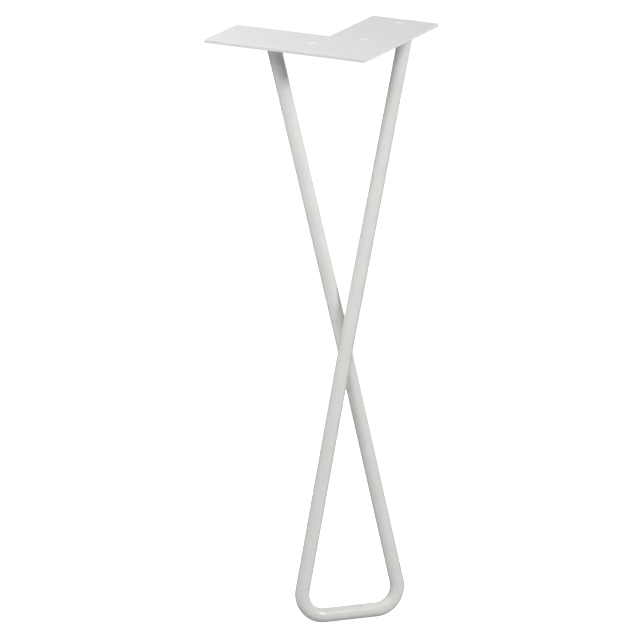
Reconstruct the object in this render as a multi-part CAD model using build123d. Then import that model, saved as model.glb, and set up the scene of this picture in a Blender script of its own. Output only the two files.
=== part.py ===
from build123d import *
import os

# Crossed hairpin table leg: one round bar, bent so that its two legs pass each other half way down,
# welded by both ends under an L-shaped screw plate.
# The origin is on the plate's top face, where the centre lines of its two arms cross. +X runs along
# one arm, +Y along the other and +Z up to the table top, so the leg stands below the origin.

# Driving dimensions, in millimetres and degrees
leg_height = 400.0              # floor to the plate's top face
bar_diameter = 10.0

plate_thickness = 2.5
arm_length = 120.0              # outer corner of the plate to the tip of either arm
arm_width = 50.0
plate_corner_radius = 1.0       # the five outward corners of the L, in plan
plate_inner_radius = 1.0        # the inward corner of the L, in plan
plate_edge_round = 0.4          # rims of the plate and of its holes, softened by the coating

screw_hole_diameter = 5.0
near_hole_distance = 26.0       # along an arm, from the origin to the hole's centre
far_hole_from_tip = 12.0        # along an arm, from the hole's centre to the arm's tip

right_end_distance = 75.0       # along the right arm, from the outer corner to the bar's centre
left_end_distance = 82.0        # along the left arm, from the outer corner to the bar's centre
left_end_inset = 28.0           # across the left arm, from its outer edge to the bar's centre

foot_span = 77.0                # between the two corner points of the foot, on the bar's centre line
foot_inset = 10.0               # foot's centre line inward of the plate's outer corner, in plan
foot_bend_radius = 16.0         # on the bar's centre line

crossing_height = 194.0         # floor to the point where the legs pass
crossing_bend_radius = 100.0    # slight bend of each leg as it passes, on the bar's centre line
crossing_clearance = 0.3        # between the two legs

weld_bead_radius = 2.4
weld_bead_angle = 150.0         # the part of the bar's end that the bead goes round, on its inner side

# Directions and heights that follow from them
along_right_arm = Vector(1, 0, 0)
along_left_arm = Vector(0, 1, 0)
up = Vector(0, 0, 1)
inward = (along_right_arm + along_left_arm).normalized()
to_the_right = (along_right_arm - along_left_arm).normalized()
bar_radius = bar_diameter / 2
underside = Plane.XY.offset(-plate_thickness)
outer_corner = (along_right_arm + along_left_arm) * (-arm_width / 2)


def make_mounting_plate():
    """L-shaped plate with two screw holes on the centre line of each arm."""
    half_width = arm_width / 2
    tip = arm_length - half_width
    outline = Polygon(
        (-half_width, -half_width),
        (tip, -half_width),
        (tip, half_width),
        (half_width, half_width),
        (half_width, tip),
        (-half_width, tip),
        align=None,
    )
    inner_corner = outline.vertices().sort_by_distance((half_width, half_width))[0]
    outer_corners = outline.vertices() - [inner_corner]
    outline = fillet(outer_corners, plate_corner_radius)
    inner_corner = outline.vertices().sort_by_distance((half_width, half_width))[0]
    outline = fillet(inner_corner, plate_inner_radius)
    for arm in (along_right_arm, along_left_arm):
        for distance in (near_hole_distance, tip - far_hole_from_tip):
            outline -= Pos(arm * distance) * Circle(screw_hole_diameter / 2)
    plate = extrude(outline, -plate_thickness)
    rims = plate.edges().filter_by(Axis.Z, reverse=True)
    return fillet(rims, plate_edge_round)


# The bar's ends on the plate's underside: the right leg passes in front and is flush with its arm's
# outer edge, the left leg passes behind and ends further in
underside_corner = outer_corner - up * plate_thickness
right_end = underside_corner + along_right_arm * right_end_distance + along_left_arm * bar_radius
left_end = underside_corner + along_left_arm * left_end_distance + along_right_arm * left_end_inset


def make_hairpin_rod():
    """One bar: down from the left end, along the foot, and up in front of itself to the right end."""
    ends_centre = (left_end + right_end) * 0.5
    foot_centre = outer_corner + inward * foot_inset - up * (leg_height - bar_radius)
    foot_right = foot_centre + to_the_right * (foot_span / 2)
    foot_left = foot_centre - to_the_right * (foot_span / 2)

    # The legs pass on either side of the line from the ends' centre to the foot's centre
    lean = foot_centre - ends_centre
    crossing_z = crossing_height - leg_height
    crossing = ends_centre + lean * ((crossing_z - ends_centre.Z) / lean.Z)
    behind = to_the_right.cross(lean).normalized()
    step_aside = behind * ((bar_diameter + crossing_clearance) / 2)
    left_leg_pass = crossing + step_aside
    right_leg_pass = crossing - step_aside

    # The bar runs a diameter past the plate's underside, and is cut off level with it
    left_start = left_end + (left_end - left_leg_pass).normalized() * bar_diameter
    right_stop = right_end + (right_end - right_leg_pass).normalized() * bar_diameter
    centre_line = FilletPolyline(
        left_start,
        left_leg_pass,
        foot_right,
        foot_left,
        right_leg_pass,
        right_stop,
        radius=[crossing_bend_radius, foot_bend_radius, foot_bend_radius, crossing_bend_radius],
    )
    section = Plane(origin=centre_line @ 0, z_dir=centre_line % 0) * Circle(bar_radius)
    rod = sweep(section, path=centre_line)
    return split(rod, underside, keep=Keep.BOTTOM)


def make_weld_bead(end, inner_angle, rod):
    """Round-ended bead in the corner between the plate's underside and the inner side of a bar's end."""
    start_angle = inner_angle - weld_bead_angle / 2
    seam = Pos(end) * CenterArc((0, 0, 0), bar_radius, start_angle, weld_bead_angle)
    section = Plane(origin=seam @ 0, z_dir=seam % 0) * Circle(weld_bead_radius)
    bead = sweep(section, path=seam)
    for stop in (seam @ 0, seam @ 1):
        bead += Pos(stop) * Sphere(weld_bead_radius)
    bead -= rod
    return split(bead, underside, keep=Keep.BOTTOM)


hairpin_rod = make_hairpin_rod()
parts = {
    "mounting_plate": make_mounting_plate(),
    "hairpin_rod": hairpin_rod,
    "right_weld_bead": make_weld_bead(right_end, 90, hairpin_rod),
    "left_weld_bead": make_weld_bead(left_end, 0, hairpin_rod),
}

os.makedirs("parts", exist_ok=True)
for name, solid in parts.items():
    export_step(solid, f"parts/{name}.step")
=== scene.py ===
import math
import bpy
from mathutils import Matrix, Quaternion, Vector


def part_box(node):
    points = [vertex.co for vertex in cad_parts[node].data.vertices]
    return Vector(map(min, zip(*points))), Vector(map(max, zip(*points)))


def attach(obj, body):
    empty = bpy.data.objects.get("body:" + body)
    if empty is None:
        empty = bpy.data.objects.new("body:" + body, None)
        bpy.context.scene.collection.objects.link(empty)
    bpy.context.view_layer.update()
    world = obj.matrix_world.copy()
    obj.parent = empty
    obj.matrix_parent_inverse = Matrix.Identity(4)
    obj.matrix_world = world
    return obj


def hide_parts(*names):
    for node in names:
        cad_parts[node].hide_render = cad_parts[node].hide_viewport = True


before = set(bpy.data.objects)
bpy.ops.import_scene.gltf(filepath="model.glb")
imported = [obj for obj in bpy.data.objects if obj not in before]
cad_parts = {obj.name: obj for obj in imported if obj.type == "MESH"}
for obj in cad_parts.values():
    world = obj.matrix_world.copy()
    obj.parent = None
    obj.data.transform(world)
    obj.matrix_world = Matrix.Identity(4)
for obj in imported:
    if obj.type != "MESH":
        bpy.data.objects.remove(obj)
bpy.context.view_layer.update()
scene = bpy.context.scene

# Sizes of the leg, in metres, as its solids have them
plate_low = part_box("mounting_plate")[0]
leg_foot_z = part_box("hairpin_rod")[0].z
underside_z = plate_low.z
bar_radius = 0.005
right_end_distance = 0.075
left_end_distance = 0.082
left_end_inset = 0.028
foot_span = 0.077
foot_inset = 0.010
foot_bend_radius = 0.016
crossing_height = 0.194
crossing_bend_radius = 0.100
crossing_clearance = 0.0003
weld_radius = 0.0024
weld_angle = math.radians(150)

# Directions in plan: one arm of the plate runs along +X, the other along +Y
along_right_arm = Vector((1, 0, 0))
along_left_arm = Vector((0, 1, 0))
up = Vector((0, 0, 1))
inward = (along_right_arm + along_left_arm).normalized()
to_the_right = (along_right_arm - along_left_arm).normalized()
outer_corner = Vector((plate_low.x, plate_low.y, 0))

# Centres of the bar's ends on the plate's underside: the right leg is flush with its arm's outer edge,
# and the left leg, which passes behind, ends further in
underside_corner = outer_corner + up * underside_z
right_end = underside_corner + along_right_arm * right_end_distance + along_left_arm * bar_radius
left_end = underside_corner + along_left_arm * left_end_distance + along_right_arm * left_end_inset

# The photograph's camera, in metres and degrees: a long lens that looks down on the plate a little,
# about 25 degrees off square to the outer edge of its left arm
picture_width_px = 640
focal_length_px = 4475.8
sensor_width_mm = 36.0
camera_aim = Vector((0.0039, 0.0188, -0.1949))
camera_distance = 3.0710
camera_azimuth = -64.632
camera_elevation = 16.964
camera_roll = 0.837
camera_reach = 50.0

# The studio: a wide floor, and lights that are mostly large and of one size
floor_radius = 12.0
floor_sides = 64
light_distance = 1.5
soft_light_size = 1.0
surroundings_light = 0.11
near_left_tip = Vector((0.0, 0.08, 0.0))
white = (1, 1, 1, 1)


def direction_to(azimuth, elevation):
    """Unit vector towards a place round the leg: azimuth 0 is on the -Y side, 90 on the +X side."""
    turn = math.radians(azimuth)
    lift = math.radians(elevation)
    return Vector((math.sin(turn) * math.cos(lift), -math.cos(turn) * math.cos(lift), math.sin(lift)))


def add_camera():
    """The photograph's camera, aimed at the middle of the leg."""
    lens = bpy.data.cameras.new("photo_camera")
    lens.sensor_width = sensor_width_mm
    lens.lens = sensor_width_mm * focal_length_px / picture_width_px
    lens.clip_end = camera_reach
    camera = bpy.data.objects.new("photo_camera", lens)
    scene.collection.objects.link(camera)
    back = direction_to(camera_azimuth, camera_elevation)
    camera.location = camera_aim + back * camera_distance
    camera.rotation_mode = "QUATERNION"
    level = back.to_track_quat("Z", "Y")
    camera.rotation_quaternion = level @ Quaternion((0, 0, 1), math.radians(camera_roll))
    scene.camera = camera


def bar_corners():
    """The corner points of the bar's centre line, from its left end round the foot to its right end."""
    ends_centre = (left_end + right_end) / 2
    foot_centre = outer_corner + inward * foot_inset + up * (leg_foot_z + bar_radius)
    foot_right = foot_centre + to_the_right * (foot_span / 2)
    foot_left = foot_centre - to_the_right * (foot_span / 2)
    lean = foot_centre - ends_centre
    crossing = ends_centre + lean * ((leg_foot_z + crossing_height - ends_centre.z) / lean.z)
    behind = to_the_right.cross(lean).normalized()
    step_aside = behind * (bar_radius + crossing_clearance / 2)
    return [left_end, crossing + step_aside, foot_right, foot_left, crossing - step_aside, right_end]


def rounded_line(corners, radii, arc_steps):
    """Points of a line with its inner corners rounded, and the line's direction at each."""
    points = [corners[0]]
    directions = [(corners[1] - corners[0]).normalized()]
    for before, corner, after, radius in zip(corners, corners[1:], corners[2:], radii):
        arriving = (corner - before).normalized()
        leaving = (after - corner).normalized()
        turn = arriving.angle(leaving)
        axis = arriving.cross(leaving).normalized()
        arc_start = corner - arriving * (radius * math.tan(turn / 2))
        towards_centre = axis.cross(arriving)
        centre = arc_start + towards_centre * radius
        for step in range(arc_steps + 1):
            swing = Quaternion(axis, turn * step / arc_steps)
            points.append(centre - swing @ (towards_centre * radius))
            directions.append(swing @ arriving)
    points.append(corners[-1])
    directions.append((corners[-1] - corners[-2]).normalized())
    return points, directions


def mesh_piece(name, vertices, faces, replaced_node):
    """A piece of the leg that stands for one of its solids, smooth except at its rims."""
    sharpest_smooth_edge = math.radians(40)
    mesh = bpy.data.meshes.new(name)
    mesh.from_pydata(vertices, [], faces)
    mesh.validate()
    mesh.shade_smooth()
    mesh.set_sharp_from_angle(angle=sharpest_smooth_edge)
    piece = bpy.data.objects.new(name, mesh)
    scene.collection.objects.link(piece)
    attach(piece, "root")
    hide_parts(replaced_node)
    return piece


def tube_faces(rings, sides):
    """Faces of a closed tube: a band between each ring of points and the next, and a cap on either end."""
    faces = []
    for ring in range(rings - 1):
        near = ring * sides
        far = near + sides
        for side in range(sides):
            following = (side + 1) % sides
            faces.append((near + side, near + following, far + following, far + side))
    last = (rings - 1) * sides
    faces.append(tuple(reversed(range(sides))))
    faces.append(tuple(last + side for side in range(sides)))
    return faces


def make_bent_bar():
    """The round bar, drawn along its centre line and cut level with the plate's underside."""
    sides = 64
    radii = [crossing_bend_radius, foot_bend_radius, foot_bend_radius, crossing_bend_radius]
    points, directions = rounded_line(bar_corners(), radii, arc_steps=24)
    across = directions[0].orthogonal().normalized()
    vertices = []
    for index, (point, direction) in enumerate(zip(points, directions)):
        if index:
            across = directions[index - 1].rotation_difference(direction) @ across
        cut_off = index in (0, len(points) - 1)
        for side in range(sides):
            spoke = Quaternion(direction, math.tau * side / sides) @ across
            place = point + spoke * bar_radius
            if cut_off:
                place -= direction * ((place.z - underside_z) / direction.z)
            vertices.append(place)
    return mesh_piece("bent_bar", vertices, tube_faces(len(points), sides), "hairpin_rod")


def weld_ripple(distance, slope):
    """Share of the bead's full radius: overlapping drops along the seam, each curved back at its sides."""
    drop_length = 0.0011
    drop_depth = 0.13
    curve_back = 0.45
    along_drop = (distance / drop_length - curve_back * slope * slope) % 1.0
    return 1.0 - drop_depth * (2 * along_drop - 1) ** 2


def make_weld(name, end, inner_side, replaced_node):
    """Rippled weld round the inner side of a bar's end, in the corner under the plate."""
    rings = 160
    sides = 24
    tip_share = 0.995    # stops just short of the round tips, so that the end rings keep some width
    half_seam = weld_angle * bar_radius / 2
    reach = half_seam + weld_radius * tip_share
    vertices = []
    for ring in range(rings):
        distance = reach * (2 * ring / (rings - 1) - 1)
        past_seam = max(0.0, abs(distance) - half_seam) / weld_radius
        end_share = math.sqrt(1 - past_seam * past_seam)
        bearing = inner_side + distance / bar_radius
        outward = Vector((math.cos(bearing), math.sin(bearing), 0))
        seam_point = end + outward * bar_radius
        for side in range(sides):
            slope = math.pi * side / (sides - 1)
            radius = weld_radius * end_share * weld_ripple(distance, math.cos(slope))
            vertices.append(seam_point + (outward * math.cos(slope) - up * math.sin(slope)) * radius)
    return mesh_piece(name, vertices, tube_faces(rings, sides), replaced_node)


def noise_field(tree, coordinates, waves_per_metre, detail):
    """Noise over the surface with the given number of waves to the metre."""
    noise = tree.nodes.new("ShaderNodeTexNoise")
    noise.inputs["Scale"].default_value = waves_per_metre
    noise.inputs["Detail"].default_value = detail
    tree.links.new(coordinates, noise.inputs["Vector"])
    return noise.outputs["Fac"]


def stretched(tree, value, low, high):
    """Map range node that spreads the part of a value from low to high over its whole range."""
    spread = tree.nodes.new("ShaderNodeMapRange")
    spread.inputs["From Min"].default_value = low
    spread.inputs["From Max"].default_value = high
    tree.links.new(value, spread.inputs["Value"])
    return spread


def coat_skin_group():
    """Skin of a sprayed and baked powder coat: fine orange peel, cloudy thickness and gloss."""
    cloud_waves = 45.0
    cloud_detail = 3.0
    gloss_waves = 160.0
    gloss_detail = 2.0
    peel_detail = 1.5
    group = bpy.data.node_groups.new("coat_skin", "ShaderNodeTree")
    sockets = group.interface
    sockets.new_socket("Full coat", in_out="INPUT", socket_type="NodeSocketColor")
    sockets.new_socket("Thin coat", in_out="INPUT", socket_type="NodeSocketColor")
    sockets.new_socket("Glossy spots", in_out="INPUT", socket_type="NodeSocketFloat")
    sockets.new_socket("Dull spots", in_out="INPUT", socket_type="NodeSocketFloat")
    sockets.new_socket("Peel waves", in_out="INPUT", socket_type="NodeSocketFloat")
    sockets.new_socket("Colour", in_out="OUTPUT", socket_type="NodeSocketColor")
    sockets.new_socket("Roughness", in_out="OUTPUT", socket_type="NodeSocketFloat")
    sockets.new_socket("Peel height", in_out="OUTPUT", socket_type="NodeSocketFloat")
    given = group.nodes.new("NodeGroupInput")
    result = group.nodes.new("NodeGroupOutput")
    place = group.nodes.new("ShaderNodeTexCoord").outputs["Object"]

    cloud = noise_field(group, place, cloud_waves, cloud_detail)
    thickness = stretched(group, cloud, low=0.35, high=0.65)
    colour = group.nodes.new("ShaderNodeMix")
    colour.data_type = "RGBA"
    group.links.new(thickness.outputs["Result"], colour.inputs["Factor"])
    group.links.new(given.outputs["Thin coat"], colour.inputs["A"])
    group.links.new(given.outputs["Full coat"], colour.inputs["B"])
    group.links.new(colour.outputs["Result"], result.inputs["Colour"])

    spots = noise_field(group, place, gloss_waves, gloss_detail)
    gloss = stretched(group, spots, low=0.3, high=0.7)
    group.links.new(given.outputs["Glossy spots"], gloss.inputs["To Min"])
    group.links.new(given.outputs["Dull spots"], gloss.inputs["To Max"])
    group.links.new(gloss.outputs["Result"], result.inputs["Roughness"])

    peel = group.nodes.new("ShaderNodeTexNoise")
    peel.inputs["Detail"].default_value = peel_detail
    group.links.new(place, peel.inputs["Vector"])
    group.links.new(given.outputs["Peel waves"], peel.inputs["Scale"])
    group.links.new(peel.outputs["Fac"], result.inputs["Peel height"])
    return group


def coat_material(name, skin, full, thin, glossy, dull, peel_waves, peel_depth):
    """White powder coat on one kind of surface, with its own tones, gloss and orange peel."""
    material = bpy.data.materials.new(name)
    material.use_nodes = True
    tree = material.node_tree
    shader = tree.nodes["Principled BSDF"]
    coat = tree.nodes.new("ShaderNodeGroup")
    coat.node_tree = skin
    coat.inputs["Full coat"].default_value = (*full, 1)
    coat.inputs["Thin coat"].default_value = (*thin, 1)
    coat.inputs["Glossy spots"].default_value = glossy
    coat.inputs["Dull spots"].default_value = dull
    coat.inputs["Peel waves"].default_value = peel_waves
    relief = tree.nodes.new("ShaderNodeBump")
    relief.inputs["Strength"].default_value = 1.0
    relief.inputs["Distance"].default_value = peel_depth
    tree.links.new(coat.outputs["Peel height"], relief.inputs["Height"])
    tree.links.new(coat.outputs["Colour"], shader.inputs["Base Color"])
    tree.links.new(coat.outputs["Roughness"], shader.inputs["Roughness"])
    tree.links.new(relief.outputs["Normal"], shader.inputs["Normal"])
    return material


def finish_piece(piece, material):
    """Gives a piece one coat all over."""
    piece.data.materials.clear()
    piece.data.materials.append(material)


def floor_material():
    """Matt white that glows enough to hide shadows, and is clear from below."""
    material = bpy.data.materials.new("white_floor")
    material.use_nodes = True
    tree = material.node_tree
    shader = tree.nodes["Principled BSDF"]
    shader.inputs["Base Color"].default_value = (0.9, 0.9, 0.9, 1)
    shader.inputs["Roughness"].default_value = 0.9
    shader.inputs["Specular IOR Level"].default_value = 0.0
    shader.inputs["Emission Color"].default_value = white
    shader.inputs["Emission Strength"].default_value = 1.0
    clear = tree.nodes.new("ShaderNodeBsdfTransparent")
    seen_from = tree.nodes.new("ShaderNodeNewGeometry")
    either = tree.nodes.new("ShaderNodeMixShader")
    tree.links.new(seen_from.outputs["Backfacing"], either.inputs["Fac"])
    tree.links.new(shader.outputs["BSDF"], either.inputs[1])
    tree.links.new(clear.outputs["BSDF"], either.inputs[2])
    tree.links.new(either.outputs["Shader"], tree.nodes["Material Output"].inputs["Surface"])
    return material


def add_floor():
    """Wide white floor under the foot. It shows no shadow and doesn't light the leg."""
    rim = []
    for side in range(floor_sides):
        angle = math.tau * side / floor_sides
        rim.append(Vector((math.cos(angle), math.sin(angle), 0)) * floor_radius + up * leg_foot_z)
    mesh = bpy.data.meshes.new("studio_floor")
    mesh.from_pydata(rim, [], [tuple(range(floor_sides))])
    mesh.materials.append(floor_material())
    floor = bpy.data.objects.new("studio_floor", mesh)
    scene.collection.objects.link(floor)
    floor.visible_diffuse = False
    floor.visible_glossy = False
    floor.visible_shadow = False


def add_light(name, side_angle, height_angle, power, distance=light_distance,
              width=soft_light_size, height=soft_light_size, aim=camera_aim):
    """Soft light aimed at the leg. Its side angle is from the camera, positive to the camera's right."""
    lamp = bpy.data.lights.new(name, "AREA")
    lamp.shape = "RECTANGLE"
    lamp.size = width
    lamp.size_y = height
    lamp.energy = power
    light = bpy.data.objects.new(name, lamp)
    scene.collection.objects.link(light)
    towards = direction_to(camera_azimuth + side_angle, height_angle)
    light.location = aim + towards * distance
    light.rotation_mode = "QUATERNION"
    light.rotation_quaternion = towards.to_track_quat("Z", "Y")
    light.visible_camera = False


def add_world():
    """White surroundings to look at, and a dim even light from them."""
    world = bpy.data.worlds.new("studio_white")
    scene.world = world
    world.use_nodes = True
    tree = world.node_tree
    seen = tree.nodes["Background"]
    seen.inputs["Color"].default_value = white
    seen.inputs["Strength"].default_value = 1.0
    lighting = tree.nodes.new("ShaderNodeBackground")
    lighting.inputs["Color"].default_value = white
    lighting.inputs["Strength"].default_value = surroundings_light
    ray = tree.nodes.new("ShaderNodeLightPath")
    either = tree.nodes.new("ShaderNodeMixShader")
    tree.links.new(ray.outputs["Is Camera Ray"], either.inputs["Fac"])
    tree.links.new(lighting.outputs["Background"], either.inputs[1])
    tree.links.new(seen.outputs["Background"], either.inputs[2])
    tree.links.new(either.outputs["Shader"], tree.nodes["World Output"].inputs["Surface"])


add_camera()
add_world()
add_floor()
add_light("key_light", side_angle=57, height_angle=28, power=10.5, width=0.45, height=0.2)
add_light("high_light", side_angle=0, height_angle=50, power=5.0, distance=1.2, width=0.7, height=0.7)
add_light("left_fill", side_angle=-45, height_angle=30, power=2.6)
add_light("low_front", side_angle=10, height_angle=-30, power=1.7)
add_light("low_right", side_angle=60, height_angle=-30, power=3.1)
add_light("low_left", side_angle=-60, height_angle=-30, power=6.2)
add_light("back_light", side_angle=185, height_angle=12, power=2.3)
add_light("rim_light", side_angle=140, height_angle=5, power=4.0)
add_light(
    "plate_light", side_angle=-95, height_angle=35, power=1.6,
    distance=0.45, width=0.3, height=0.3, aim=near_left_tip)

bent_bar = make_bent_bar()
right_weld = make_weld("right_weld", right_end, math.pi / 2, "right_weld_bead")
left_weld = make_weld("left_weld", left_end, 0.0, "left_weld_bead")

coat_skin = coat_skin_group()
plate_coat = coat_material(
    "plate_coat", coat_skin, full=(0.80, 0.80, 0.795), thin=(0.78, 0.78, 0.775),
    glossy=0.29, dull=0.34, peel_waves=520.0, peel_depth=0.000005)
bar_coat = coat_material(
    "bar_coat", coat_skin, full=(0.795, 0.80, 0.775), thin=(0.765, 0.77, 0.745),
    glossy=0.20, dull=0.26, peel_waves=600.0, peel_depth=0.000012)
weld_coat = coat_material(
    "weld_coat", coat_skin, full=(0.785, 0.79, 0.765), thin=(0.735, 0.74, 0.715),
    glossy=0.29, dull=0.38, peel_waves=900.0, peel_depth=0.00004)
finish_piece(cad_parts["mounting_plate"], plate_coat)
finish_piece(bent_bar, bar_coat)
finish_piece(right_weld, weld_coat)
finish_piece(left_weld, weld_coat)

scene.view_settings.view_transform = "Standard"
